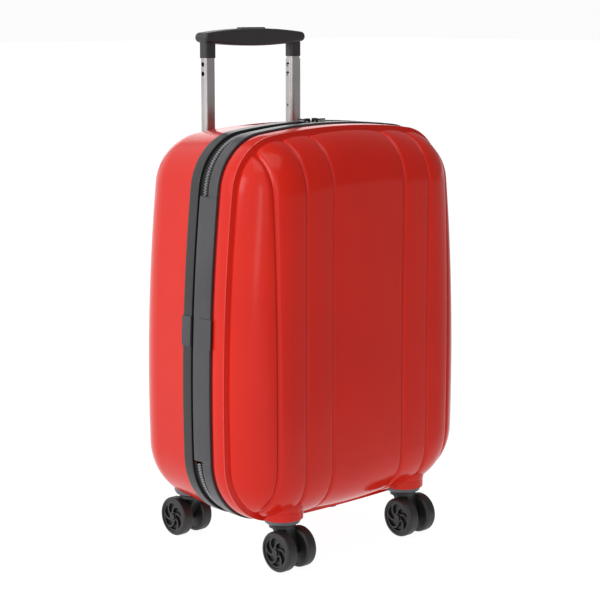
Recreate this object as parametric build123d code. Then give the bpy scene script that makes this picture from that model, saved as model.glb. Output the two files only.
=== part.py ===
from build123d import *
import math
import os

os.makedirs("parts", exist_ok=True)

# Case body. Millimetres; X is the width, -Y the front, +Z up, the ground at Z = 0.
case_width = 395.6          # across the widest part of the rims
case_top = 548.2            # crest of the rims above the ground
wheel_diameter = 51.5
case_bottom = wheel_diameter + 2.2      # underside of the rims above the ground
front_face_y = -131.0       # flat of the front half
back_face_y = 112.0         # flat of the back half
side_bow = 2272.0           # the sides, top and underside bow out slightly
top_bow = 947.0
bottom_bow = 3005.0
top_corner = 75.0           # corner radii seen from the front
bottom_corner = 87.5
front_round = 68.5          # rounding between the sides and the front face
back_round = 60.0
front_draft = 1.0           # degrees
back_draft = 4.5
shell_wall = 3.0

# Parting of the two halves
zip_y = -28.2               # plane of the zip
zip_gap = 18.6              # between the two rims
rim_width = 16.5
rim_wall = 4.5
shadow_gap = 4.0            # open line between the front rim and the front half
shell_inset = 0.8           # the shells sit this far inside the rims
tongue_wall = 2.5           # part of each shell that runs under its rim
flange_depth = 20.5         # plain band behind the ribs
flange_step = 4.0
tape_wall = 1.0
tape_split = 1.0            # between the two halves of the zip tape
clip_height = 37.0
clip_proud = 1.5
cover_wall = 2.2
cover_length = 326.0
cover_gap = 3.0             # between the side cover and the back rim

# Ribs of the front half
groove_from_side = (136.5, 92.4, 49.0)
groove_width = 4.0
groove_depth = 2.0

# Telescopic handle
tube_x = 73.8
tube_y = back_face_y - 18.4
inner_tube = (16.5, 13.5)
tube_wall = 0.8
tube_gap = 0.35
tube_corner = 4.5
handle_out = 138.0          # how far the handle stands out of its stowed place
grip_half = 86.0
grip_z = case_top + 104.1
grip_end_thick = 12.5
grip_mid_thick = 22.6
grip_depth = 25.0
socket_drop = 26.0          # from the grip's middle line to the foot of its sockets
button_length = 41.0
button_width = 10.0
button_proud = 1.4
button_travel = 2.5

# Deck round the handle
deck_half = 104.0
deck_crest = case_top - 21.2
deck_bow = 620.0
deck_front_y = back_face_y - 50.0
tray_wall = 1.6
tray_slack = 1.6

# Castors
wheel_width = 16.0
wheel_spacing = 32.0        # between the middles of the two wheels of a castor
castor_x = 107.9
front_swivel_y = front_face_y + 44.85
back_swivel_y = back_face_y - 19.85
castor_trail = 13.0
base_diameter = 47.0
base_height = 14.0
base_top = wheel_diameter + 4.5 + base_height
bump_diameter = 56.0
stem_diameter = 10.0
axle_diameter = 6.0
run_clearance = 0.05        # radial, between a pin and what turns on it
tyre_depth = 5.0

# Zip sliders, each at its place along the top
slider_x = (-13.0, 0.5)

# Carry handle let into the top, behind the rims
carry_half = 58.0
carry_y = 30.0
carry_width = 20.0
carry_top = case_top - 8.2
carry_thick = 6.0
scoop_floor = case_top - 36.2
scoop_wall = 3.0

# Packing straps
strap_margin = 97.25        # from the top and bottom of the case to the ends of the straps

half_width = case_width / 2
rib_groove_x = [half_width - v for v in groove_from_side]
mid_z = (case_top + case_bottom) / 2
widest_z = mid_z - 91.0
front_rim_y = zip_y - zip_gap / 2 - rim_width
back_rim_y = zip_y + zip_gap / 2 + rim_width
wheel_r = wheel_diameter / 2
middle_tube = tuple(v + 2 * (tube_gap + tube_wall) for v in inner_tube)
outer_tube = tuple(v + 2 * (tube_gap + tube_wall) for v in middle_tube)
socket_z = grip_z - socket_drop
tray_floor = socket_z - handle_out - 2.0


def save(shape, name):
    export_step(shape, f"parts/{name}.step")


def unit(a, b):
    d = math.dist(a, b)
    return ((b[0] - a[0]) / d, (b[1] - a[1]) / d)


def meet(c1, r1, c2, r2, near):
    """Crossing of two circles that lies nearest a given point."""
    d = math.dist(c1, c2)
    a = (r1 * r1 - r2 * r2 + d * d) / (2 * d)
    h = math.sqrt(max(r1 * r1 - a * a, 0.0))
    ux, uy = unit(c1, c2)
    px, py = c1[0] + a * ux, c1[1] + a * uy
    found = [(px - h * uy, py + h * ux), (px + h * uy, py - h * ux)]
    return min(found, key=lambda p: math.dist(p, near))


def step_from(centre, direction, radius):
    return (centre[0] + direction[0] * radius, centre[1] + direction[1] * radius)


top_centre = (0.0, case_top - top_bow)
bottom_centre = (0.0, case_bottom + bottom_bow)
side_centre = (half_width - side_bow, widest_z)
top_corner_at = meet(
    top_centre, top_bow - top_corner, side_centre, side_bow - top_corner,
    (half_width - top_corner, case_top - top_corner),
)
bottom_corner_at = meet(
    bottom_centre, bottom_bow - bottom_corner, side_centre, side_bow - bottom_corner,
    (half_width - bottom_corner, case_bottom + bottom_corner),
)


def outline(inset, y, backwards=False):
    """Front-view outline of the case, moved inwards by an inset, as a face at one depth."""
    top_dir = unit(top_centre, top_corner_at)
    side_up = unit(side_centre, top_corner_at)
    side_down = unit(side_centre, bottom_corner_at)
    bottom_dir = unit(bottom_centre, bottom_corner_at)

    def between(a, b):
        s = (a[0] + b[0], a[1] + b[1])
        return unit((0.0, 0.0), s)

    right = [
        (top_corner_at, top_corner, top_dir, side_up),
        (side_centre, side_bow, side_up, side_down),
        (bottom_corner_at, bottom_corner, side_down, bottom_dir),
    ]
    arcs = []
    for centre, radius, first, last in right:
        pts = [step_from(centre, v, radius - inset) for v in (first, between(first, last), last)]
        arcs.append(pts)
    bottom_end = step_from(bottom_centre, bottom_dir, bottom_bow - inset)
    arcs.append([bottom_end, (0.0, case_bottom + inset), (-bottom_end[0], bottom_end[1])])
    for centre, radius, first, last in reversed(right):
        pts = [step_from(centre, v, radius - inset) for v in (last, between(first, last), first)]
        arcs.append([(-x, z) for x, z in pts])
    top_end = step_from(top_centre, top_dir, top_bow - inset)
    arcs.append([(-top_end[0], top_end[1]), (0.0, case_top - inset), top_end])
    wire = Wire([ThreePointArc(*a) for a in arcs])
    normal = (0, 1, 0) if backwards else (0, -1, 0)
    across = (-1, 0, 0) if backwards else (1, 0, 0)
    return Plane(origin=(0, y, 0), x_dir=across, z_dir=normal) * make_face(wire)


def block(inset, y0, y1):
    """Straight slice of the case outline between two depths."""
    return extrude(outline(inset, y0, backwards=y1 > y0), abs(y1 - y0))


def ring(outer_inset, inner_inset, y0, y1):
    return block(outer_inset, y0, y1) - block(inner_inset, y0, y1)


def dome(inset, y0, y1, draft, radius):
    """Rounded half of the case, from an open edge at y0 to its flat at y1."""
    body = extrude(outline(inset, y0, backwards=y1 > y0), abs(y1 - y0), taper=draft)
    flat = body.faces().sort_by(Axis.Y)[-1 if y1 > y0 else 0]
    return fillet(flat.edges(), radius)


def box(x0, x1, y0, y1, z0, z1):
    return Pos((x0 + x1) / 2, (y0 + y1) / 2, (z0 + z1) / 2) * Box(x1 - x0, y1 - y0, z1 - z0)


def rod(x, y, z0, z1, radius):
    return Pos(x, y, (z0 + z1) / 2) * Cylinder(radius, z1 - z0)


def rod_x(x0, x1, y, z, radius):
    return Pos((x0 + x1) / 2, y, z) * Rot(0, 90, 0) * Cylinder(radius, x1 - x0)


def bar(size, corner, x, y, z0, z1):
    """Upright bar with a rounded rectangular section."""
    face = Pos(x, y, z0) * RectangleRounded(size[0], size[1], corner)
    return extrude(face, z1 - z0)


def tube(size, x, z0, z1):
    bore = (size[0] - 2 * tube_wall, size[1] - 2 * tube_wall)
    corner = tube_corner + (size[0] - inner_tube[0]) / 2
    return bar(size, corner, x, tube_y, z0, z1) - bar(
        bore, corner - tube_wall, x, tube_y, z0 - 1, z1 + 1
    )


# Front half ---------------------------------------------------------------
round_start = front_face_y + front_round
start_y = round_start + 6.0
edge_y = front_rim_y - shadow_gap
band_y = edge_y - flange_depth
plain_inset = shell_inset + flange_step
tongue_in = rim_wall + tongue_wall
sides = {"left": -1, "right": 1}


def joined(shapes):
    solid = shapes[0]
    for shape in shapes[1:]:
        solid = solid + shape
    return solid


def front_dome(extra):
    return dome(
        plain_inset + extra, start_y, front_face_y + extra, front_draft, front_round - extra
    )


def bumps(y, thinner):
    """Rounded bosses that carry the two castors of one half."""
    r = bump_diameter / 2 - thinner
    low = base_top + thinner
    bend = base_top + 14.0
    high = base_top + 54.0 - thinner
    parts = []
    for side in sides.values():
        parts.append(rod(side * castor_x, y, low, bend, r))
        parts.append(
            Pos(side * castor_x, y, (bend + high) / 2) * Cone(r, r * 0.45, high - bend)
        )
    return joined(parts)


def boss_cups(y):
    return joined([
        rod(side * castor_x, y, case_bottom, base_top + shell_wall, bump_diameter / 2)
        for side in sides.values()
    ])


def boss_pockets(y, radius, top):
    return joined([rod(side * castor_x, y, 20, top, radius) for side in sides.values()])


def slabs(width, y0, y1):
    parts = []
    for x in rib_groove_x:
        for side in sides.values():
            parts.append(
                box(side * x - width / 2, side * x + width / 2, y0, y1, 0, case_top + 50)
            )
    return joined(parts)


def make_front_shell():
    keep = box(-600, 600, front_face_y - 40, band_y, -50, case_top + 200)
    cut = slabs(groove_width, front_face_y - 30, band_y) + ring(
        -30, 60, band_y, band_y - groove_width
    )
    ribbed = (front_dome(0) & keep) - cut + (front_dome(groove_depth) & keep)
    band_dome = dome(
        shell_inset, start_y, front_face_y - flange_step, front_draft, front_round + flange_step
    )
    band = band_dome & box(-600, 600, band_y, edge_y, -50, case_top + 200)
    inside = box(-600, 600, front_face_y - 40, edge_y + 1, -50, 900)
    in_front = box(-600, 600, front_face_y - 40, edge_y, -50, 900)
    outer = ribbed + band + (bumps(front_swivel_y, 0) & in_front)
    ridges = slabs(groove_width + 2 * shell_wall, front_face_y - 30, band_y)
    hollow = (front_dome(shell_wall) & inside) - ridges + (
        front_dome(shell_wall + groove_depth) & inside
    )
    shell = outer - hollow - (bumps(front_swivel_y, shell_wall) & in_front)
    shoulder = ring(shell_inset + 2, tongue_in, edge_y - 3, edge_y) & band_dome
    tongue = ring(rim_wall, tongue_in, edge_y - 1, zip_y - zip_gap / 2)
    shell = shell + shoulder + tongue + (boss_cups(front_swivel_y) & outer)
    return shell - boss_pockets(front_swivel_y, base_diameter / 2 + 0.6, base_top)


def make_front_lining():
    extra = shell_wall + groove_depth
    lining = front_dome(extra) - front_dome(extra + 1.0)
    lining = lining & box(-600, 600, front_face_y - 10, edge_y + 6, 0, 900)
    return lining - boss_pockets(front_swivel_y, bump_diameter / 2 + 1, base_top + shell_wall + 1)


# Back half ----------------------------------------------------------------
def back_dome(extra):
    return dome(
        shell_inset + extra, back_rim_y, back_face_y - extra, back_draft, back_round - extra
    )


deck_back_y = back_face_y + 1.0
tray_x = grip_half + tray_slack + tray_wall
tray_half_y = grip_depth / 2 + tray_slack + tray_wall
deck_at_tray = deck_crest - tray_x * tray_x / (2 * deck_bow)
tray_top = deck_at_tray - 1.5
scoop_x = carry_half + 4.0
scoop_y = carry_width / 2 + 6.0
tube_foot = case_bottom + 77.0
pan_y = tube_y - outer_tube[1] / 2 - 3.0


def make_deck():
    face = Pos(0, deck_crest - deck_bow) * Circle(deck_bow)
    face = face & (Pos(0, deck_crest - 50) * Rectangle(2 * deck_half, 120))
    face = face.face()
    corners = face.vertices().sort_by(Axis.Y)[-2:]
    face = fillet(corners, 12)
    plane = Plane(origin=(0, deck_front_y, 0), x_dir=(-1, 0, 0), z_dir=(0, 1, 0))
    deck = extrude(plane * face, deck_back_y - deck_front_y)
    front = deck.faces().sort_by(Axis.Y)[0]
    rounded = [e for e in front.edges() if e.center().Z > deck_crest - 45]
    return fillet(rounded, 5)


def scoop_box(extra, low):
    return box(
        -scoop_x - extra, scoop_x + extra, carry_y - scoop_y - extra, carry_y + scoop_y + extra,
        low, case_top + 20,
    )


def make_carry_tray():
    tray = scoop_box(scoop_wall, scoop_floor - scoop_wall) & back_dome(0)
    return tray - scoop_box(0, scoop_floor)


def make_back_shell():
    tall = box(-600, 600, back_rim_y, back_face_y + 60, -50, 900)
    outer = back_dome(0) + make_deck() + (bumps(back_swivel_y, 0) & tall)
    shell = outer - back_dome(shell_wall) - bumps(back_swivel_y, shell_wall)
    shell = shell + (boss_cups(back_swivel_y) & outer)
    shell = shell - scoop_box(scoop_wall, scoop_floor - scoop_wall)
    shell = shell - box(
        -tray_x, tray_x, tube_y - tray_half_y, tube_y + tray_half_y, tray_floor - 30, tray_top
    )
    shell = shell - box(
        -tray_x + tray_wall, tray_x - tray_wall, tube_y - tray_half_y + tray_wall,
        tube_y + tray_half_y - tray_wall, tray_top - 1, case_top + 20,
    )
    shoulder = ring(shell_inset, tongue_in, back_rim_y, back_rim_y + 3) & back_dome(0)
    tongue = ring(rim_wall, tongue_in, zip_y + zip_gap / 2, back_rim_y + 1)
    shell = shell + shoulder + tongue
    return shell - boss_pockets(back_swivel_y, base_diameter / 2 + 0.6, base_top)


def make_back_lining():
    def pan(extra):
        return dome(
            shell_inset + shell_wall + extra, back_rim_y + 4, pan_y - extra, back_draft,
            40 - extra,
        )

    drawn_in = math.tan(math.radians(back_draft)) * 4
    lining = pan(drawn_in) - pan(drawn_in + 1.0)
    lining = lining & box(-600, 600, back_rim_y + 4, pan_y, 0, 900)
    lining = lining - box(
        -tray_x - 0.5, tray_x + 0.5, tube_y - tray_half_y - 0.5, 200, tray_floor - 3, 900
    )
    lining = lining - scoop_box(scoop_wall + 0.5, scoop_floor - scoop_wall - 0.5)
    return lining - boss_pockets(
        back_swivel_y, bump_diameter / 2 + 1, base_top + shell_wall + 1
    )


# Rims, zip and side trim --------------------------------------------------
def make_rim(y0, y1):
    rim = ring(0, rim_wall, y0, y1)
    ends = rim.faces().filter_by(Plane.XZ)
    edges = []
    for face in ends:
        edges += list(face.outer_wire().edges())
    return fillet(edges, 1.5)


def side_slice(height, z=None):
    z = mid_z if z is None else z
    return box(-half_width - 50, -half_width + 60, -200, 200, z - height / 2, z + height / 2)


def tape(y0, y1):
    loop = ring(rim_wall - tape_wall, rim_wall, y0, y1)
    return loop - side_slice(cover_length + 4)


def make_feet():
    feet = []
    foot_y = zip_y + 4.8
    for side in sides.values():
        base = Pos(side * 32.8, foot_y, case_bottom - 17) * RectangleRounded(14, 18, 5)
        top = Pos(side * 32.8, foot_y, case_bottom + 4) * RectangleRounded(18, 23, 6)
        feet.append(loft([base, top]))
    return joined(feet) - block(0, -150, 150)


# Handle -------------------------------------------------------------------
stowed_foot = tube_foot + 4.0
inner_foot = stowed_foot + 4.0 + handle_out
inner_head = grip_z - 10.0


def make_grip():
    end, mid = grip_end_thick / 2, grip_mid_thick / 2
    h = grip_half - 5
    wire = Wire([
        ThreePointArc((-h, end), (0, mid), (h, end)),
        ThreePointArc((h, end), (grip_half, 0), (h, -end)),
        ThreePointArc((h, -end), (0, -mid), (-h, -end)),
        ThreePointArc((-h, -end), (-grip_half, 0), (-h, end)),
    ])
    plane = Plane(origin=(0, tube_y + grip_depth / 2, grip_z), x_dir=(1, 0, 0), z_dir=(0, -1, 0))
    grip = extrude(plane * make_face(wire), grip_depth)
    long_edges = [e for f in grip.faces().filter_by(Plane.XZ) for e in f.edges()]
    grip = fillet(long_edges, 4.0)
    for side in sides.values():
        socket = (inner_tube[0] + 2.2, inner_tube[1] + 2.2)
        grip = grip + bar(socket, 5.4, side * tube_x, tube_y, socket_z, grip_z - 2)
    for side in sides.values():
        grip = grip - bar(inner_tube, tube_corner, side * tube_x, tube_y, socket_z - 1, inner_head)
        grip = grip - rod(side * tube_x, tube_y, inner_head - 1, grip_z, 3.0)
    grip = grip - box(
        -tube_x - 5, tube_x + 5, tube_y - 4.2, tube_y + 4.2,
        grip_z - button_travel - 1.5, grip_z + 3.7,
    )
    grip = grip - rod(0, tube_y, grip_z - 10.5, grip_z, 4.0)
    return grip - box(
        -button_length / 2 - 0.4, button_length / 2 + 0.4, tube_y - button_width / 2 - 0.4,
        tube_y + button_width / 2 + 0.4, grip_z, grip_z + grip_mid_thick,
    )


def make_button():
    top = grip_z + grip_mid_thick / 2 + button_proud
    cap = box(
        -button_length / 2, button_length / 2, tube_y - button_width / 2,
        tube_y + button_width / 2, grip_z + 4.4, top,
    )
    cap = fillet(cap.faces().sort_by(Axis.Z)[-1].edges(), 1.6)
    stem = box(
        -button_length / 2 - 3, button_length / 2 + 3, tube_y - 3.6, tube_y + 3.6,
        grip_z + 1.5, grip_z + 3.3,
    )
    neck = box(
        -button_length / 2, button_length / 2, tube_y - 3.6, tube_y + 3.6,
        grip_z + 3.3, grip_z + 4.4,
    )
    return cap + neck + stem


def make_yoke():
    beam = box(-tube_x - 3, tube_x + 3, tube_y - 2.5, tube_y + 2.5, grip_z - 0.5, grip_z + 1.5)
    rods = [
        rod(side * tube_x, tube_y, inner_foot + 12, grip_z - 0.5, 2.0) for side in sides.values()
    ]
    return joined([beam] + rods)


def make_spring():
    low, high, radius = grip_z - 10.5, grip_z - 0.5, 3.0
    path = Helix(pitch=(high - low - 0.8) / 4, height=high - low - 0.8, radius=radius)
    section = Plane(origin=path @ 0, z_dir=path % 0) * Circle(0.35)
    return Pos(0, tube_y, low + 0.4) * sweep(section, path=path)


def drilled(shape, side, heights, size, radius=3.0):
    """Latch holes in the left wall of a tube."""
    x = side * tube_x - size[0] / 2
    for z in heights:
        shape = shape - rod_x(x - 3, x + tube_wall + 1.5, tube_y, z, radius)
    return shape


def make_tray():
    outer = box(
        -tray_x, tray_x, tube_y - tray_half_y, tube_y + tray_half_y, tray_floor - 2, tray_top
    )
    inner = box(
        -tray_x + tray_wall, tray_x - tray_wall, tube_y - tray_half_y + tray_wall,
        tube_y + tray_half_y - tray_wall, tray_floor, tray_top + 5,
    )
    tray = outer - inner
    corner = tube_corner + (outer_tube[0] - inner_tube[0]) / 2
    for side in sides.values():
        tray = tray - bar(outer_tube, corner, side * tube_x, tube_y, tray_floor - 5, tray_floor + 1)
    return tray


def make_bracket():
    size = (outer_tube[0] + 6, outer_tube[1] + 6)
    corner = tube_corner + (outer_tube[0] - inner_tube[0]) / 2
    wall_y = back_face_y - shell_wall
    parts = [
        bar(size, corner + 3, side * tube_x, tube_y, tube_foot - 5, tube_foot + 28)
        for side in sides.values()
    ]
    parts.append(box(-tube_x, tube_x, tube_y + 4, tube_y + 8, tube_foot + 4, tube_foot + 28))
    parts += [
        box(side * tube_x - 9, side * tube_x + 9, tube_y + 9, wall_y, tube_foot + 14, tube_foot + 28)
        for side in sides.values()
    ]
    bracket = joined(parts)
    for side in sides.values():
        bracket = bracket - bar(
            outer_tube, corner, side * tube_x, tube_y, tube_foot, tube_foot + 40
        )
    return bracket


def make_carry():
    y0, y1 = carry_y - carry_width / 2, carry_y + carry_width / 2
    strap = box(-carry_half, carry_half, y0, y1, carry_top - carry_thick, carry_top)
    strap = fillet(strap.edges().filter_by(Axis.Y), 2.4)
    feet = [
        box(
            side * carry_half - (10 if side > 0 else 0), side * carry_half + (10 if side < 0 else 0),
            y0 + 1, y1 - 1, scoop_floor, carry_top - carry_thick + 3,
        )
        for side in sides.values()
    ]
    return joined([strap] + feet)


def make_straps():
    """Two crossed packing straps lying on the floor of the back lining."""
    low, high = case_bottom + strap_margin, case_top - strap_margin
    reach = half_width - 82
    length = math.dist((-reach, low), (reach, high))
    angle = math.degrees(math.atan2(high - low, 2 * reach))
    floor_y = pan_y - (math.tan(math.radians(back_draft)) * 4 + 1.0)
    strap = Box(length, 1.2, 25)
    one = Pos(0, floor_y - 0.6, mid_z) * Rot(0, -angle, 0) * strap
    two = Pos(0, floor_y - 0.6, mid_z) * Rot(0, angle, 0) * strap
    return one + two, Pos(0, floor_y - 1.2 - 4, mid_z) * fillet(
        Box(46, 8, 34).edges().filter_by(Axis.Y), 6
    )


# Castors ------------------------------------------------------------------
def make_base(x, y):
    bend = base_top - base_height / 2
    low = base_top - base_height
    r = base_diameter / 2
    solid = rod(x, y, bend, base_top, r)
    solid = solid + Pos(x, y, (low + bend) / 2) * Cone(r * 0.76, r, bend - low)
    solid = solid - rod(x, y, low - 1, base_top - 3, stem_diameter / 2 + run_clearance)
    return solid - block(-0.5, front_rim_y - 0.5, 0)


def make_fork(x, y, axle_y):
    low = base_top - base_height
    web = (wheel_spacing - wheel_width) / 2 - 0.5
    disc_low = wheel_diameter + 0.4
    fork = rod(x, y, disc_low, low - 0.5, base_diameter / 2 * 0.72)
    fork = fork + rod(x, y, low - 0.6, base_top - 4, stem_diameter / 2)
    trail = math.copysign(1, axle_y - y)
    pts = [
        (y - trail * 13, low - 0.6), (y + trail * 15, low - 0.6), (axle_y + trail * 8.2, wheel_r),
        (axle_y - trail * 3, wheel_r - 7.6), (y - trail * 11, low - 7),
    ]
    if trail < 0:
        pts = pts[::-1]
    plane = Plane(origin=(x - web, 0, 0), x_dir=(0, 1, 0), z_dir=(1, 0, 0))
    side = make_face(Polyline(*pts, close=True)) + Pos(axle_y, wheel_r) * Circle(8.4)
    fork = fork + extrude(plane * side, 2 * web)
    return fork - rod_x(x - 40, x + 40, axle_y, wheel_r, axle_diameter / 2)


def make_axle(x, y):
    hub_half = wheel_width / 2 - 1
    head = wheel_spacing / 2 + hub_half + 0.4
    axle = rod_x(x - head - 0.8, x + head + 0.8, y, wheel_r, axle_diameter / 2)
    for start in (x + head, x - head - 1.6):
        axle = axle + rod_x(start, start + 1.6, y, wheel_r, axle_diameter / 2 + 1.6)
    return axle


def hub_face():
    """Ring-shaped recess left between the swirled spokes of a hub."""
    hub_r = wheel_r - tyre_depth
    inner, outer = 6.6, hub_r - 3.0
    gap = Circle(outer) - Circle(inner)
    bend = outer * 0.56
    arc = (Pos(bend, 0) * Circle(bend + 1.3)) - (Pos(bend, 0) * Circle(bend - 1.3))
    arc = arc & (Pos(outer, outer) * Rectangle(4 * outer, 2 * outer))
    for i in range(6):
        gap = gap - Rot(0, 0, 60 * i) * arc
    return gap


hub_recess = hub_face()


def make_hub(x, y, side):
    hub_r = wheel_r - tyre_depth
    width = wheel_width - 2
    hub = Cylinder(hub_r, width) - Cylinder(axle_diameter / 2 + run_clearance, width + 2)
    hub = hub - extrude(Pos(0, 0, width / 2 - 3.5) * hub_recess, 5)
    return Pos(x + side * wheel_spacing / 2, y, wheel_r) * Rot(0, 90 * side, 0) * hub


def make_tyre(x, y, side):
    hub_r = wheel_r - tyre_depth
    face = Pos(0, (hub_r + wheel_r) / 2) * Rectangle(wheel_width, tyre_depth)
    face = fillet(face.vertices().sort_by(Axis.Y)[-2:], tyre_depth * 0.75)
    return Pos(x + side * wheel_spacing / 2, y, wheel_r) * revolve(face, Axis.X)


# Zip sliders --------------------------------------------------------------
tape_top = case_top - (rim_wall - tape_wall)
pin_z = case_top + 2.3


def place_on_arch(shape, x, turn):
    """Carry a shape built over the crest round the top arch to its own place."""
    angle = math.degrees(math.asin(x / top_bow))
    lift = Pos(0, zip_y, case_top - top_bow) * Rot(0, angle, 0)
    return lift * Pos(0, 0, top_bow - case_top) * Rot(0, 0, turn) * shape


def slider_shape():
    body = box(-5, 5, -4.6, 4.6, tape_top + 0.4, case_top - 0.2)
    body = fillet(body.edges().filter_by(Axis.Z), 2)
    for side in sides.values():
        body = body + box(
            -1.8, 1.8, side * 3.6 - 0.6, side * 3.6 + 0.6, case_top - 1, pin_z + 1.6
        )
    return body + Pos(0, 0, pin_z) * Rot(90, 0, 0) * Cylinder(1.0, 7.2)


def pull_shape():
    barrel = Pos(0, 0, pin_z) * Rot(90, 0, 0) * Cylinder(2.0, 5.4)
    plate = box(0, 17, -3.4, 3.4, pin_z - 0.9, pin_z + 0.9)
    plate = fillet([e for e in plate.edges().filter_by(Axis.Z) if e.center().X > 10], 3.3)
    plate = plate - box(-5, 2.6, -10, -2.7, 0, 900) - box(-5, 2.6, 2.7, 10, 0, 900)
    plate = plate - rod(12, 0, pin_z - 5, pin_z + 5, 1.9)
    hole = Pos(0, 0, pin_z) * Rot(90, 0, 0) * Cylinder(1.0 + run_clearance, 20)
    return barrel + plate - hole


# Write every part ---------------------------------------------------------
save(make_front_shell(), "front_shell")
save(make_front_lining(), "front_lining")
save(make_rim(front_rim_y, zip_y - zip_gap / 2), "front_rim")
save(tape(zip_y - zip_gap / 2, zip_y - tape_split / 2), "zip_tape_front")
save(
    ring(0, cover_wall, zip_y - zip_gap / 2, zip_y + zip_gap / 2 - cover_gap)
    & side_slice(cover_length),
    "side_cover",
)
save(
    ring(-clip_proud, 0, front_rim_y - 3, zip_y - zip_gap / 2 + 1.5) & side_slice(clip_height),
    "rim_clip_front",
)

save(make_back_shell(), "back_shell")
save(make_back_lining(), "back_lining")
save(make_rim(zip_y + zip_gap / 2, back_rim_y), "back_rim")
save(tape(zip_y + tape_split / 2, zip_y + zip_gap / 2), "zip_tape_back")
save(
    ring(tongue_in, tongue_in + 1, zip_y - 1, zip_y + zip_gap / 2 + 8) & side_slice(cover_length),
    "hinge_strip",
)
save(
    ring(-clip_proud, 0, zip_y + zip_gap / 2, back_rim_y) & side_slice(clip_height),
    "rim_clip_back",
)
save(make_feet(), "bottom_feet")
save(make_carry_tray(), "carry_tray")
save(make_carry(), "carry_handle")
straps, buckle = make_straps()
save(straps, "packing_straps")
save(buckle, "strap_buckle")
save(make_tray(), "trolley_tray")
save(make_bracket(), "trolley_bracket")

save(make_grip(), "trolley_grip")
save(make_button(), "grip_button")
save(make_yoke(), "release_yoke")
save(make_spring(), "button_spring")
latch = (8.0, 20.0)
outer_pair = [tube(outer_tube, side * tube_x, tube_foot, tray_floor) for side in sides.values()]
save(joined(outer_pair), "outer_tubes")
for name, side in sides.items():
    head = socket_z - 3.0 if side > 0 else socket_z - 3.0 - handle_out
    foot = head - (socket_z - 3.0 - handle_out - stowed_foot)
    middle = tube(middle_tube, side * tube_x, foot, head)
    middle = drilled(middle, side, [head - v for v in latch], middle_tube)
    middle = drilled(middle, side, [head - 62], middle_tube, 1.8)
    save(middle, f"middle_tube_{name}")
    inner = tube(inner_tube, side * tube_x, inner_foot, inner_head)
    inner = drilled(inner, side, [socket_z - v for v in latch], inner_tube)
    save(inner, f"inner_tube_{name}")

for place, swivel_y, away in (("front", front_swivel_y, -1), ("back", back_swivel_y, 1)):
    axle_y = swivel_y + away * castor_trail
    for name, side in sides.items():
        x = side * castor_x
        tag = f"{place}_{name}"
        save(make_base(x, swivel_y), f"castor_base_{tag}")
        save(make_fork(x, swivel_y, axle_y), f"castor_fork_{tag}")
        save(make_axle(x, axle_y), f"axle_{tag}")
        for way, wheel_side in (("outer", side), ("inner", -side)):
            save(make_hub(x, axle_y, wheel_side), f"hub_{tag}_{way}")
            save(make_tyre(x, axle_y, wheel_side), f"tyre_{tag}_{way}")

for name, x, turn in (("left", slider_x[0], 90), ("right", slider_x[1], 0)):
    save(place_on_arch(slider_shape(), x, turn), f"zip_slider_{name}")
    save(place_on_arch(pull_shape(), x, turn), f"zip_pull_{name}")
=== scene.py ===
import bpy
import math
import numpy as np
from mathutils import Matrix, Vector


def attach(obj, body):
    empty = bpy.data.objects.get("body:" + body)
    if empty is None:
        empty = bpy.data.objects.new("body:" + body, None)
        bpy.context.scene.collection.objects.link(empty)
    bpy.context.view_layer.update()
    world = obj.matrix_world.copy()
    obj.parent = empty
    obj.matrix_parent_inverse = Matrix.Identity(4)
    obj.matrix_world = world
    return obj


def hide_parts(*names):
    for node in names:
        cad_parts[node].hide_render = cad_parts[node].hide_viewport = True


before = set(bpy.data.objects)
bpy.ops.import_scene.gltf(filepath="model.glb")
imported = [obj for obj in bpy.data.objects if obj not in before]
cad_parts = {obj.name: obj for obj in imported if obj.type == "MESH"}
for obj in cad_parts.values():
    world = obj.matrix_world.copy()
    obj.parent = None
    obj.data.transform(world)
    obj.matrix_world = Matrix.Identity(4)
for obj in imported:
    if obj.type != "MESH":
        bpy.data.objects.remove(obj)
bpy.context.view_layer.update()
MM = 0.001

# Sizes of the case in millimetres, as the CAD has them
CASE_TOP, CASE_BOTTOM, HALF_WIDTH = 548.2, 53.7, 197.8
TOP_BOW, SIDE_BOW, BOTTOM_BOW = 947.0, 2272.0, 3005.0
TOP_CORNER, BOTTOM_CORNER = 75.0, 87.5
MID_Z = (CASE_TOP + CASE_BOTTOM) / 2
WIDEST_Z = MID_Z - 91.0
ZIP_Y, ZIP_GAP, RIM_WIDTH, RIM_WALL = -28.2, 18.6, 16.5, 4.5
FRONT_RIM_Y = ZIP_Y - ZIP_GAP / 2 - RIM_WIDTH
EDGE_Y = FRONT_RIM_Y - 4.0
BAND_Y = EDGE_Y - 20.5
ROUND_Y, ROUND_R, ROUND_INSET = -62.5, 68.5, 73.4
GROOVES = (61.3, 105.4, 148.8)
COVER_HALF = 165.0
CASTOR_X, FRONT_SWIVEL_Y, BASE_TOP = 107.9, -86.15, 70.0


def meet(c1, r1, c2, r2, near):
    """Crossing of two circles that lies nearest a given point."""
    c1, c2 = np.array(c1), np.array(c2)
    d = np.linalg.norm(c2 - c1)
    a = (r1 * r1 - r2 * r2 + d * d) / (2 * d)
    h = math.sqrt(r1 * r1 - a * a)
    u = (c2 - c1) / d
    side = np.array([-u[1], u[0]]) * h
    found = [c1 + a * u + side, c1 + a * u - side]
    return min(found, key=lambda p: np.linalg.norm(p - np.array(near)))


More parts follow.
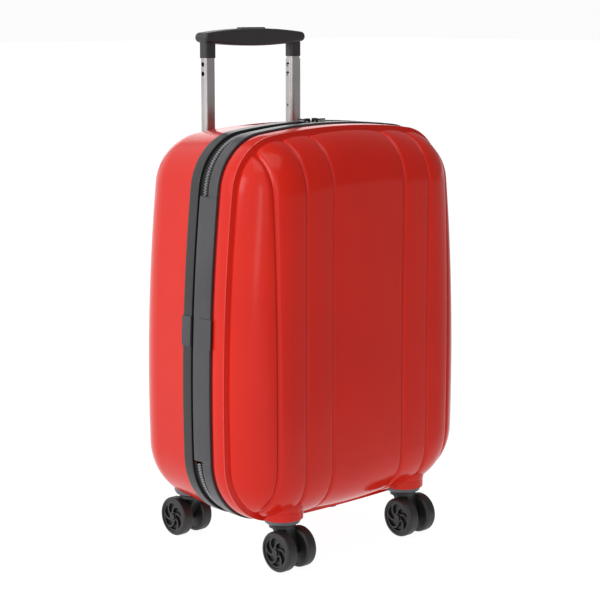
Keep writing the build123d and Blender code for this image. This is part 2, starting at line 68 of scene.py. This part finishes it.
TOP_AT = np.array([0.0, CASE_TOP - TOP_BOW])
BOTTOM_AT = np.array([0.0, CASE_BOTTOM + BOTTOM_BOW])
SIDE_AT = np.array([HALF_WIDTH - SIDE_BOW, WIDEST_Z])
UPPER_AT = meet(TOP_AT, TOP_BOW - TOP_CORNER, SIDE_AT, SIDE_BOW - TOP_CORNER,
                (HALF_WIDTH - TOP_CORNER, CASE_TOP - TOP_CORNER))
LOWER_AT = meet(BOTTOM_AT, BOTTOM_BOW - BOTTOM_CORNER, SIDE_AT, SIDE_BOW - BOTTOM_CORNER,
                (HALF_WIDTH - BOTTOM_CORNER, CASE_BOTTOM + BOTTOM_CORNER))


def angle(a, b):
    return math.atan2(b[1] - a[1], b[0] - a[0])


UP_A, SIDE_A = angle(TOP_AT, UPPER_AT), angle(SIDE_AT, UPPER_AT)
SIDE_B, DOWN_B = angle(SIDE_AT, LOWER_AT), angle(BOTTOM_AT, LOWER_AT)


def inset(x, z):
    """How far a point of the front view lies inside the outline of the case."""
    x = np.abs(x)

    def gap(centre, radius):
        return radius - np.hypot(x - centre[0], z - centre[1])

    d = np.minimum(np.minimum(gap(TOP_AT, TOP_BOW), gap(SIDE_AT, SIDE_BOW)),
                   gap(BOTTOM_AT, BOTTOM_BOW))
    for centre, radius, low, high in ((UPPER_AT, TOP_CORNER, SIDE_A, UP_A),
                                      (LOWER_AT, BOTTOM_CORNER, DOWN_B, SIDE_B)):
        turn = np.arctan2(z - centre[1], x - centre[0])
        d = np.where((turn > low) & (turn < high), gap(centre, radius), d)
    return d


def loop(step):
    """Points round the outline: centre, radius and direction of each, clockwise from the top."""
    rows = []
    arcs = ((TOP_AT, TOP_BOW, math.pi / 2, UP_A), (UPPER_AT, TOP_CORNER, UP_A, SIDE_A),
            (SIDE_AT, SIDE_BOW, SIDE_A, SIDE_B), (LOWER_AT, BOTTOM_CORNER, SIDE_B, DOWN_B),
            (BOTTOM_AT, BOTTOM_BOW, DOWN_B, -math.pi / 2))
    for centre, radius, a, b in arcs:
        n = max(4, int(abs(b - a) * radius / step))
        for k in range(n):
            t = a + (b - a) * k / n
            rows.append((centre[0], centre[1], radius, math.cos(t), math.sin(t)))
    rows.append((BOTTOM_AT[0], BOTTOM_AT[1], BOTTOM_BOW, 0.0, -1.0))
    half = np.array(rows)
    other = half[1:-1][::-1].copy()
    other[:, 0] *= -1
    other[:, 3] *= -1
    return np.concatenate([half, other])


def at_inset(rows, i):
    """Points of a loop moved in from the outline."""
    r = rows[:, 2] - i
    return rows[:, 0] + r * rows[:, 3], rows[:, 1] + r * rows[:, 4]


# Mesh helpers ---------------------------------------------------------------
def mesh_piece(name, verts, faces, material, body, normals=None):
    """Smooth mesh in millimetres that rides on a body of the frame."""
    data = bpy.data.meshes.new(name)
    data.from_pydata((np.asarray(verts) * MM).tolist(), [], [tuple(map(int, f)) for f in faces])
    data.polygons.foreach_set("use_smooth", [True] * len(data.polygons))
    if normals is not None:
        data.normals_split_custom_set_from_vertices([tuple(n) for n in normals])
    data.update()
    piece = bpy.data.objects.new(name, data)
    bpy.context.scene.collection.objects.link(piece)
    data.materials.append(material)
    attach(piece, body)
    return piece


def grid_faces(rows, cols, wrap_rows=False, wrap_cols=False):
    """Four-sided faces between the points of a grid, closed on itself where asked."""
    faces = []
    for r in range(rows if wrap_rows else rows - 1):
        for c in range(cols if wrap_cols else cols - 1):
            a, b = r * cols + c, r * cols + (c + 1) % cols
            d, e = ((r + 1) % rows) * cols + c, ((r + 1) % rows) * cols + (c + 1) % cols
            faces.append((a, b, e, d))
    return faces


def rounded(points, radius, steps=4):
    """Profile with every corner between its two ends rounded."""
    out = [points[0]]
    for before, here, after in zip(points, points[1:], points[2:]):
        before, here, after = map(np.array, (before, here, after))
        u, v = before - here, after - here
        lu, lv = np.linalg.norm(u), np.linalg.norm(v)
        cut = min(radius, lu * 0.45, lv * 0.45)
        a, b = here + u / lu * cut, here + v / lv * cut
        for k in range(steps + 1):
            t = k / steps
            out.append(tuple((1 - t) ** 2 * a + 2 * t * (1 - t) * here + t * t * b))
    out.append(points[-1])
    return out


def swept(profile, step=4.0):
    """A profile of (inset, depth) pairs carried round the outline of the case."""
    rows = loop(step)
    verts = []
    for i, y in profile:
        x, z = at_inset(rows, i)
        verts.append(np.stack([x, np.full_like(x, y), z], 1))
    return np.concatenate(verts), grid_faces(len(profile), len(rows), wrap_cols=True)


def lathe(profile, x, y, turns=64):
    """A profile of (radius, height) pairs turned round an upright axis."""
    verts = []
    for r, z in profile:
        a = np.arange(turns) * 2 * math.pi / turns
        verts.append(np.stack([x + r * np.cos(a), y + r * np.sin(a), np.full(turns, z)], 1))
    return np.concatenate(verts), grid_faces(len(profile), turns, wrap_cols=True)


# Materials ------------------------------------------------------------------
def node(tree, kind, **inputs):
    n = tree.nodes.new(kind)
    for key, value in inputs.items():
        n.inputs[key.replace("_", " ")].default_value = value
    return n


def rgb(code):
    parts = [int(code[i:i + 2], 16) / 255 for i in (0, 2, 4)]
    return [p / 12.92 if p <= 0.04045 else ((p + 0.055) / 1.055) ** 2.4 for p in parts] + [1.0]


def finish(name, dark, light, rough, grain=400.0, stretch=(1, 1, 1), bump=0.1, depth=0.0001,
           blotch=12.0, **shader):
    """Material with a fine grain, a broad colour variation and an uneven gloss."""
    mat = bpy.data.materials.new(name)
    mat.use_nodes = True
    tree = mat.node_tree
    surface = tree.nodes["Principled BSDF"]
    for key, value in shader.items():
        surface.inputs[key.replace("_", " ")].default_value = value
    place = tree.nodes.new("ShaderNodeTexCoord")
    scale = tree.nodes.new("ShaderNodeMapping")
    scale.inputs["Scale"].default_value = stretch
    tree.links.new(place.outputs["Object"], scale.inputs["Vector"])
    fine = node(tree, "ShaderNodeTexNoise", Scale=grain, Detail=4.0, Roughness=0.6)
    broad = node(tree, "ShaderNodeTexNoise", Scale=blotch, Detail=3.0, Roughness=0.55)
    tree.links.new(scale.outputs["Vector"], fine.inputs["Vector"])
    tree.links.new(place.outputs["Object"], broad.inputs["Vector"])
    tint = tree.nodes.new("ShaderNodeValToRGB")
    tint.color_ramp.elements[0].position, tint.color_ramp.elements[1].position = 0.3, 0.7
    tint.color_ramp.elements[0].color, tint.color_ramp.elements[1].color = rgb(dark), rgb(light)
    tree.links.new(broad.outputs["Fac"], tint.inputs["Fac"])
    tree.links.new(tint.outputs["Color"], surface.inputs["Base Color"])
    gloss = tree.nodes.new("ShaderNodeMapRange")
    gloss.inputs["To Min"].default_value, gloss.inputs["To Max"].default_value = rough
    tree.links.new(fine.outputs["Fac"], gloss.inputs["Value"])
    tree.links.new(gloss.outputs["Result"], surface.inputs["Roughness"])
    lift = node(tree, "ShaderNodeBump", Strength=bump, Distance=depth)
    tree.links.new(fine.outputs["Fac"], lift.inputs["Height"])
    tree.links.new(lift.outputs["Normal"], surface.inputs["Normal"])
    return mat


def woven(name, dark, light, threads, depth=0.0003):
    """Cloth with a plain weave of crossing threads."""
    mat = finish(name, dark, light, (0.75, 0.95), grain=900.0)
    tree = mat.node_tree
    surface = tree.nodes["Principled BSDF"]
    place = next(n for n in tree.nodes if n.bl_idname == "ShaderNodeTexCoord")
    lift = next(n for n in tree.nodes if n.bl_idname == "ShaderNodeBump")
    tint = next(n for n in tree.nodes if n.bl_idname == "ShaderNodeValToRGB")
    waves = []
    for way in ("X", "Z"):
        wave = node(tree, "ShaderNodeTexWave", Scale=threads, Distortion=0.6, Detail=1.0)
        wave.bands_direction = way
        tree.links.new(place.outputs["Object"], wave.inputs["Vector"])
        waves.append(wave)
    cross = tree.nodes.new("ShaderNodeMath")
    cross.operation = "MULTIPLY"
    tree.links.new(waves[0].outputs["Fac"], cross.inputs[0])
    tree.links.new(waves[1].outputs["Fac"], cross.inputs[1])
    tree.links.new(cross.outputs["Value"], lift.inputs["Height"])
    tree.links.new(cross.outputs["Value"], tint.inputs["Fac"])
    lift.inputs["Distance"].default_value = depth
    lift.inputs["Strength"].default_value = 0.8
    tree.links.new(lift.outputs["Normal"], surface.inputs["Normal"])
    return mat


RED = finish("red_shell_gloss", "c01c10", "ca2212", (0.15, 0.21), grain=260.0, bump=0.03,
             depth=0.00005, blotch=5.0, IOR=1.42, Specular_IOR_Level=0.3)
GREY = finish("grey_trim_satin", "2f2f33", "3a3a3e", (0.24, 0.38), grain=1400.0, bump=0.12,
              depth=0.00008, IOR=1.5)
# The back rim is the same grey trim as the front rim; this darker copy of it is painted shade
SHADED_RIM_GREY = finish("rear_rim_satin_painted_shade", "19191b", "222224", (0.24, 0.38), grain=1400.0, bump=0.12,
                   depth=0.00008, IOR=1.5)
COIL = finish("zip_coil_nylon", "6a6a6e", "8a8a8e", (0.25, 0.4), grain=900.0, bump=0.1)
CASTOR = finish("castor_grey_satin", "4c4e52", "5a5c60", (0.38, 0.55), grain=1200.0, bump=0.15)
BLACK = finish("black_soft_plastic", "221f21", "2c292b", (0.38, 0.52), grain=1500.0, bump=0.15)
HUB = finish("hub_black", "141416", "1e1e20", (0.28, 0.42), grain=900.0, bump=0.1)
TYRE = finish("tyre_rubber", "171515", "211e1e", (0.4, 0.6), grain=700.0, bump=0.3)
ALLOY = finish("brushed_tube", "a5a2a1", "b8b5b4", (0.24, 0.36), grain=900.0,
               stretch=(1, 1, 0.02), bump=0.12, Metallic=1.0)
STEEL = finish("steel", "7d8084", "9a9da1", (0.25, 0.4), grain=700.0, stretch=(0.05, 1, 1),
               Metallic=1.0)
SLIDER = finish("slider_metal", "2f2f33", "45454a", (0.22, 0.36), grain=900.0, Metallic=0.7)
TAPE = woven("zip_tape_weave", "08080a", "161619", 260.0)
LINING = woven("lining_weave", "3b3c41", "5c5d63", 220.0)
WEB = woven("strap_webbing", "18181b", "34343a", 160.0, depth=0.0006)

DRESS = {
    "back_shell": RED, "front_shell": RED, "carry_tray": RED, "trolley_tray": BLACK,
    "trolley_bracket": BLACK, "strap_buckle": BLACK, "trolley_grip": BLACK,
    "grip_button": BLACK, "carry_handle": BLACK, "back_lining": LINING,
    "front_lining": LINING, "packing_straps": WEB, "hinge_strip": TAPE,
}
STARTS = (
    ("castor_base", CASTOR), ("castor_fork", HUB), ("hub", HUB), ("tyre", TYRE),
    ("axle", HUB), ("release", STEEL),
    ("button", STEEL), ("outer_tube", ALLOY), ("middle_tube", ALLOY), ("inner_tube", ALLOY),
    ("zip_tape", TAPE), ("zip_slider", SLIDER), ("zip_pull", SLIDER), ("front_rim", GREY),
    ("back_rim", GREY), ("side_cover", GREY), ("rim_clip", GREY), ("bottom_feet", CASTOR),
)
for name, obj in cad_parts.items():
    mat = DRESS.get(name) or next(m for start, m in STARTS if name.startswith(start))
    for index in range(len(obj.material_slots)):
        obj.material_slots[index].material = mat


# Front shell: ribs pillowed between rounded grooves ------------------------
GROOVE_DEPTH, GROOVE_WIDTH = 2.3, 2.1
PILLOW, WIDE_PILLOW, WIDE_RIB = 1.1, 1.7, 100.0
SHOULDER = 14.0
END_DROP, END_STEEP, LATE_START = 4.2, 0.985, 0.55
END_LOW, END_HIGH = math.radians(14.05), math.radians(27.0)
END_INSET = ROUND_INSET - ROUND_R * math.cos(END_LOW)
EDGES = [-g for g in reversed(GROOVES)] + list(GROOVES)


def sink(x, beta):
    """How deep the ribbed surface lies below the plain dome."""
    d, across = np.zeros_like(x), np.zeros_like(x)
    for g in EDGES:
        d += GROOVE_DEPTH * np.exp(-(np.abs(x - g) / GROOVE_WIDTH) ** 1.7)
    for a, b in zip(EDGES, EDGES[1:]):
        t = (2 * x - a - b) / (b - a)
        wide = b - a > WIDE_RIB
        rise = WIDE_PILLOW if wide else PILLOW
        d += np.where(np.abs(t) <= 1, rise * t * t, 0.0)
        across = np.where(np.abs(t) <= 1, np.abs(t) ** (9 if wide else 3), across)
    over = np.abs(x) - GROOVES[-1]
    d += np.where(over > 0, PILLOW * np.clip(1 - over / SHOULDER, 0, 1) ** 2, 0.0)
    # A rib's end falls away earlier at its sides, which rounds it like a fingertip
    start = LATE_START * (1 - across)
    t = np.clip(((END_HIGH - beta) / (END_HIGH - END_LOW) - start) / (1 - start), 0, END_STEEP)
    return d + END_DROP * (1 - np.sqrt(1 - t * t))


def rib_surface(x, z):
    """Points of the ribbed surface over points of the front view."""
    i = inset(x, z)
    e = 0.02
    gx = (inset(x + e, z) - inset(x - e, z)) / (2 * e)
    gz = (inset(x, z + e) - inset(x, z - e)) / (2 * e)
    c = np.clip((ROUND_INSET - i) / ROUND_R, 0, 1)
    beta = np.arccos(c)
    y = ROUND_Y - ROUND_R * np.sin(beta)
    d = sink(x, beta)
    return np.stack([x + gx * c * d, y + np.sin(beta) * d, z + gz * c * d], -1)


def rib_columns():
    """Places of the mesh's columns, close together at the grooves and at the side edge."""
    xs = set(np.arange(0, 124, 5.0).tolist())
    for g in GROOVES:
        for off in (0, 0.4, 0.8, 1.2, 1.7, 2.2, 2.8, 3.5, 4.5, 6, 8, 11):
            xs.update((g - off, g + off))
    for beta in np.linspace(math.pi / 2, END_LOW, 42):
        xs.add(HALF_WIDTH - ROUND_INSET + ROUND_R * math.cos(beta))
    limit = HALF_WIDTH - END_INSET - 0.004
    for off in (0, 0.02, 0.07, 0.16, 0.3, 0.5, 0.8, 1.2, 1.7, 2.3, 3.0, 4.0):
        xs.add(limit - off)
    kept = []
    for x in sorted(v for v in xs if v <= limit):
        crowded = kept and x - kept[-1] < 0.3 and limit - x > 0.6
        if crowded and not any(abs(x - g) < 0.01 for g in GROOVES):
            continue
        kept.append(x)
    return np.array([-x for x in reversed(kept) if x > 0] + kept)


def reach(x, far):
    """Height along a column at which the ribbed surface ends."""
    near, far = np.full_like(x, WIDEST_Z), np.full_like(x, far)
    for _ in range(50):
        mid = (near + far) / 2
        inside = inset(x, mid) > END_INSET
        near, far = np.where(inside, mid, near), np.where(inside, far, mid)
    return near


def make_ribs():
    """Mesh of the ribs, with its points spread along each column by length and by turn."""
    xs = rib_columns()
    count = 150
    low, high = reach(xs, CASE_BOTTOM), reach(xs, CASE_TOP)
    verts = []
    for x, a, b in zip(xs, low, high):
        t = (1 - np.cos(np.linspace(0, math.pi, 901))) / 2
        z = a + (b - a) * t
        c = np.clip((ROUND_INSET - inset(np.full_like(z, x), z)) / ROUND_R, 0, 1)
        beta = np.arccos(c)
        y = -ROUND_R * np.sin(beta)
        run = np.hypot(np.diff(z), np.diff(y)) + 60.0 * np.abs(np.diff(beta)) + 0.02
        run = np.concatenate([[0], np.cumsum(run)])
        z = np.interp(np.linspace(0, run[-1], count), run, z)
        verts.append(np.stack([np.full_like(z, x), z], 1))
    flat = np.concatenate(verts)
    x, z = flat[:, 0], flat[:, 1]
    e = 0.05
    du = rib_surface(x + e, z) - rib_surface(x - e, z)
    dv = rib_surface(x, z + e) - rib_surface(x, z - e)
    normal = np.cross(du, dv)
    normal /= np.linalg.norm(normal, axis=1, keepdims=True) + 1e-12
    normal[normal[:, 1] > 0.9] *= -1
    faces = grid_faces(len(xs), count)
    return rib_surface(x, z), faces, normal


verts, faces, normals = make_ribs()
faces = [f[::-1] for f in faces]
ribs = mesh_piece("front_shell_ribs", verts, faces, RED, "case_front", normals)
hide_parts("front_shell")

# Plain band between the ribs and the rim, with a lip under the ends of the ribs
BAND_R = 71.3
band_profile = [(14.0, BAND_Y - 4.0), (8.6, BAND_Y - 0.8), (4.4, BAND_Y), (2.7, BAND_Y)]
for beta in np.radians((11.0, 8.0, 5.0, 2.0)):
    band_profile.append((ROUND_INSET - BAND_R * math.cos(beta),
                         ROUND_Y - BAND_R * math.sin(beta)))
band_profile += [(2.1, EDGE_Y), (RIM_WALL, EDGE_Y), (RIM_WALL, ZIP_Y - ZIP_GAP / 2),
                 (7.0, ZIP_Y - ZIP_GAP / 2), (7.0, EDGE_Y - 3.0), (9.0, BAND_Y + 1.5)]
band_profile = rounded(band_profile, 1.3)
verts, faces = swept(band_profile)
band = mesh_piece("front_shell_band", verts, faces, RED, "case_front")

# Bosses over the front castors outside, and the cups that house them inside
BOSS_R, CUP_R, CUP_HIGH, WALL = 28.0, 26.4, 6.0, 2.6


def skin_only(verts, faces):
    """The faces that stand out of the front shell or lie no more than its wall deep in it."""
    x, y, z = verts.T
    away = np.hypot(ROUND_INSET - inset(x, z), np.minimum(y - ROUND_Y, 0.0))
    kept = [f for f in faces if max(away[list(f)]) > ROUND_R - WALL]
    used = sorted({v for f in kept for v in f})
    place = {v: k for k, v in enumerate(used)}
    return verts[used], [tuple(place[v] for v in f) for f in kept]


def fine(profile, step=1.5):
    """Profile with points put in so that none are far apart."""
    out = [profile[0]]
    for a, b in zip(profile, profile[1:]):
        n = max(1, math.ceil(math.dist(a, b) / step))
        out += [tuple(np.array(a) + (np.array(b) - np.array(a)) * k / n) for k in range(1, n + 1)]
    return out


for side, name in ((-1, "left"), (1, "right")):
    profile = rounded([(20.0, BASE_TOP + 4.4), (27.0, BASE_TOP + 4.0),
                       (BOSS_R, BASE_TOP + 14.0), (23.0, BASE_TOP + 30.0),
                       (12.6, BASE_TOP + 54.0)], 6.0, 6)
    verts, faces = skin_only(*lathe(fine(profile), side * CASTOR_X, FRONT_SWIVEL_Y))
    mesh_piece(f"front_shell_boss_{name}", verts, faces, RED, "case_front")
    profile = rounded([(CUP_R, BASE_TOP - CUP_HIGH), (CUP_R, BASE_TOP + CUP_HIGH),
                       (0.2, BASE_TOP + CUP_HIGH)], 2.0, 5)
    verts, faces = lathe(profile, side * CASTOR_X, FRONT_SWIVEL_Y)
    mesh_piece(f"front_shell_cup_{name}", verts, faces, RED, "case_front")


# Rims and side cover --------------------------------------------------------
RIM_ROUND = 4.2


def make_rim(front, back, cover_back=None):
    """Rounded rim round the case, with the side cover grown out of it where there is one."""
    rows = loop(3.0)
    spans = [(row, back) for row in rows]
    if cover_back is not None:
        x, z = at_inset(rows, 0)
        covered = (x < 0) & (np.abs(z - MID_Z) < COVER_HALF - 2)
        spans = []
        for k, row in enumerate(rows):
            before = covered[k - 1]
            if covered[k] != before:
                spans.append((row, cover_back if before else back))
            spans.append((row, cover_back if covered[k] else back))
    verts = []
    for row, end in spans:
        profile = rounded([(2.4, front), (0.0, front), (0.0, (front + end) / 2), (0.0, end),
                           (RIM_WALL, end), (RIM_WALL, front), (2.4, front)], RIM_ROUND, 5)
        for i, y in profile:
            verts.append((row[0] + (row[2] - i) * row[3], y, row[1] + (row[2] - i) * row[4]))
    count = len(profile)
    return np.array(verts), grid_faces(len(spans), count, wrap_rows=True)


verts, faces = make_rim(FRONT_RIM_Y, ZIP_Y - ZIP_GAP / 2, ZIP_Y + ZIP_GAP / 2 - 3.0)
rim = mesh_piece("front_rim_and_cover", verts, faces, GREY, "case_front")
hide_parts("front_rim", "side_cover")
# The back rim takes the darker copy of the grey trim: painted shade
verts, faces = make_rim(ZIP_Y + ZIP_GAP / 2, ZIP_Y + ZIP_GAP / 2 + RIM_WIDTH)
rim = mesh_piece("back_rim_bead", verts, faces, SHADED_RIM_GREY, "case_back")
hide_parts("back_rim")

# Castor bases: flat discs with a rounded lower edge
BACK_SWIVEL_Y, STEM_R, DISC_R, DISC_LOW = 92.15, 5.2, 24.0, 57.2
for place, swivel_y in (("front", FRONT_SWIVEL_Y), ("back", BACK_SWIVEL_Y)):
    top = BASE_TOP + (4.2 if place == "front" else 0.0)
    for side, name in ((-1, "left"), (1, "right")):
        profile = rounded([(STEM_R, top), (STEM_R, DISC_LOW), (21.5, DISC_LOW), (DISC_R, 62.5),
                           (DISC_R, top), (STEM_R, top)], 2.4, 6)
        verts, faces = lathe(profile, side * CASTOR_X, swivel_y)
        disc = mesh_piece(f"castor_disc_{place}_{name}", verts, faces, CASTOR, "case_" + place)
        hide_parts(f"castor_base_{place}_{name}")


# Zip coil --------------------------------------------------------------------
COIL_INSET, COIL_PITCH = 3.3, 3.4


def make_coil(offset, shift):
    """Teeth of one half of the zip, as small blocks that narrow outward."""
    rows = loop(0.4)
    x, z = at_inset(rows, COIL_INSET)
    run = np.concatenate([[0], np.cumsum(np.hypot(np.diff(x), np.diff(z)))])
    verts, faces = [], []
    for s in np.arange(shift * COIL_PITCH, run[-1], COIL_PITCH):
        k = int(np.searchsorted(run, s))
        row = rows[min(k, len(rows) - 1)]
        reach_out = row[2] - COIL_INSET
        cx, cz = row[0] + reach_out * row[3], row[1] + reach_out * row[4]
        if cx < 0 and abs(cz - MID_Z) < COVER_HALF:
            continue
        out = np.array([row[3], 0, row[4]])
        along = np.array([row[4], 0, -row[3]])
        start = len(verts)
        for level, half, wide in ((-0.3, 0.8, 1.9), (0.5, 0.7, 1.8), (0.9, 0.35, 1.2)):
            for a, b in ((-1, -1), (1, -1), (1, 1), (-1, 1)):
                centre = np.array([cx, ZIP_Y + offset, cz])
                verts.append(centre + out * level + along * a * half + np.array([0, b * wide, 0]))
        for level in (0, 4):
            for k in range(4):
                a, b = start + level + k, start + level + (k + 1) % 4
                faces.append((a, b, b + 4, a + 4))
        faces.append(tuple(start + 8 + k for k in range(4)))
    return verts, faces


for name, body, offset, shift in (("zip_coil_front", "case_front", -1.1, 0.0),
                                  ("zip_coil_back", "case_back", 1.1, 0.5)):
    verts, faces = make_coil(offset, shift)
    mesh_piece(name, verts, faces, COIL, body)


# Camera, floor and light -----------------------------------------------------
camera = bpy.data.objects.new("camera", bpy.data.cameras.new("camera"))
bpy.context.scene.collection.objects.link(camera)
camera.location = (-1.461719, -1.59785, 0.685989)
camera.rotation_euler = (math.radians(90 - 9.726), 0, math.radians(-42.47))
camera.data.sensor_width = 36.0
camera.data.lens = 101.24
bpy.context.scene.camera = camera
bpy.context.scene.view_settings.view_transform = "Standard"


def softbox(name, at, aim, width, height, power):
    light = bpy.data.lights.new(name, "AREA")
    light.shape = "RECTANGLE"
    light.size, light.size_y, light.energy = width, height, power
    lamp = bpy.data.objects.new(name, light)
    bpy.context.scene.collection.objects.link(lamp)
    lamp.location = at
    lamp.rotation_euler = (Vector(aim) - Vector(at)).to_track_quat("-Z", "Y").to_euler()


softbox("key_left", (-3.0, 0.8, 1.5), (-0.2, 0.0, 0.35), 1.6, 1.5, 30)
softbox("edge_left", (-2.6, -1.9, 0.9), (-0.17, -0.1, 0.3), 0.5, 1.5, 6)
softbox("top", (-0.5, -0.5, 2.3), (0, 0, 0.3), 1.4, 1.2, 8)
softbox("back_fill", (1.6, 2.6, 1.5), (0, 0, 0.35), 2.0, 1.6, 14)

data = bpy.data.meshes.new("floor")
size = 30.0
data.from_pydata([(-size, -size, 0), (size, -size, 0), (size, size, 0), (-size, size, 0)], [],
                 [(0, 1, 2, 3)])
floor = bpy.data.objects.new("floor", data)
bpy.context.scene.collection.objects.link(floor)
paper = bpy.data.materials.new("paper_floor")
paper.use_nodes = True
surface = paper.node_tree.nodes["Principled BSDF"]
surface.inputs["Base Color"].default_value = (0.12, 0.12, 0.12, 1)
surface.inputs["Roughness"].default_value = 0.9
surface.inputs["Emission Color"].default_value = (1, 1, 1, 1)


def shade_by(tree, output, direction, start, end, dark, light):
    """Number that goes from dark to light along a direction."""
    place = tree.nodes.new("ShaderNodeTexCoord")
    along = tree.nodes.new("ShaderNodeVectorMath")
    along.operation = "DOT_PRODUCT"
    along.inputs[1].default_value = direction
    tree.links.new(place.outputs[output], along.inputs[0])
    ramp = tree.nodes.new("ShaderNodeMapRange")
    ramp.interpolation_type = "SMOOTHSTEP"
    ramp.inputs["From Min"].default_value = start
    ramp.inputs["From Max"].default_value = end
    ramp.inputs["To Min"].default_value = dark
    ramp.inputs["To Max"].default_value = light
    tree.links.new(along.outputs["Value"], ramp.inputs["Value"])
    return ramp.outputs["Result"]


# The floor and the world are dimmer in front of the case on its right, as in the photograph
glow = shade_by(paper.node_tree, "Object", (-0.606, 0.795, 0), -0.987, -0.427, 0.5, 0.95)
paper.node_tree.links.new(glow, surface.inputs["Emission Strength"])
data.materials.append(paper)

world = bpy.data.worlds.new("studio")
bpy.context.scene.world = world
world.use_nodes = True
tree = world.node_tree
back = tree.nodes["Background"]
back.inputs["Color"].default_value = (1, 1, 1, 1)
half = shade_by(tree, "Generated", (-0.938, 0.345, 0), 0.06, 0.2, 0.3, 1.15)
horizon = shade_by(tree, "Generated", (0, 0, -1), -0.1, -0.03, 0.0, 0.97)
ahead = shade_by(tree, "Generated", (0.675, 0.738, 0), 0.4, 0.7, 0.0, 1.0)
band = tree.nodes.new("ShaderNodeMath")
band.operation = "MULTIPLY"
tree.links.new(horizon, band.inputs[0])
tree.links.new(ahead, band.inputs[1])
brighter = tree.nodes.new("ShaderNodeMath")
brighter.operation = "MAXIMUM"
tree.links.new(half, brighter.inputs[0])
tree.links.new(band.outputs["Value"], brighter.inputs[1])
tree.links.new(brighter.outputs["Value"], back.inputs["Strength"])
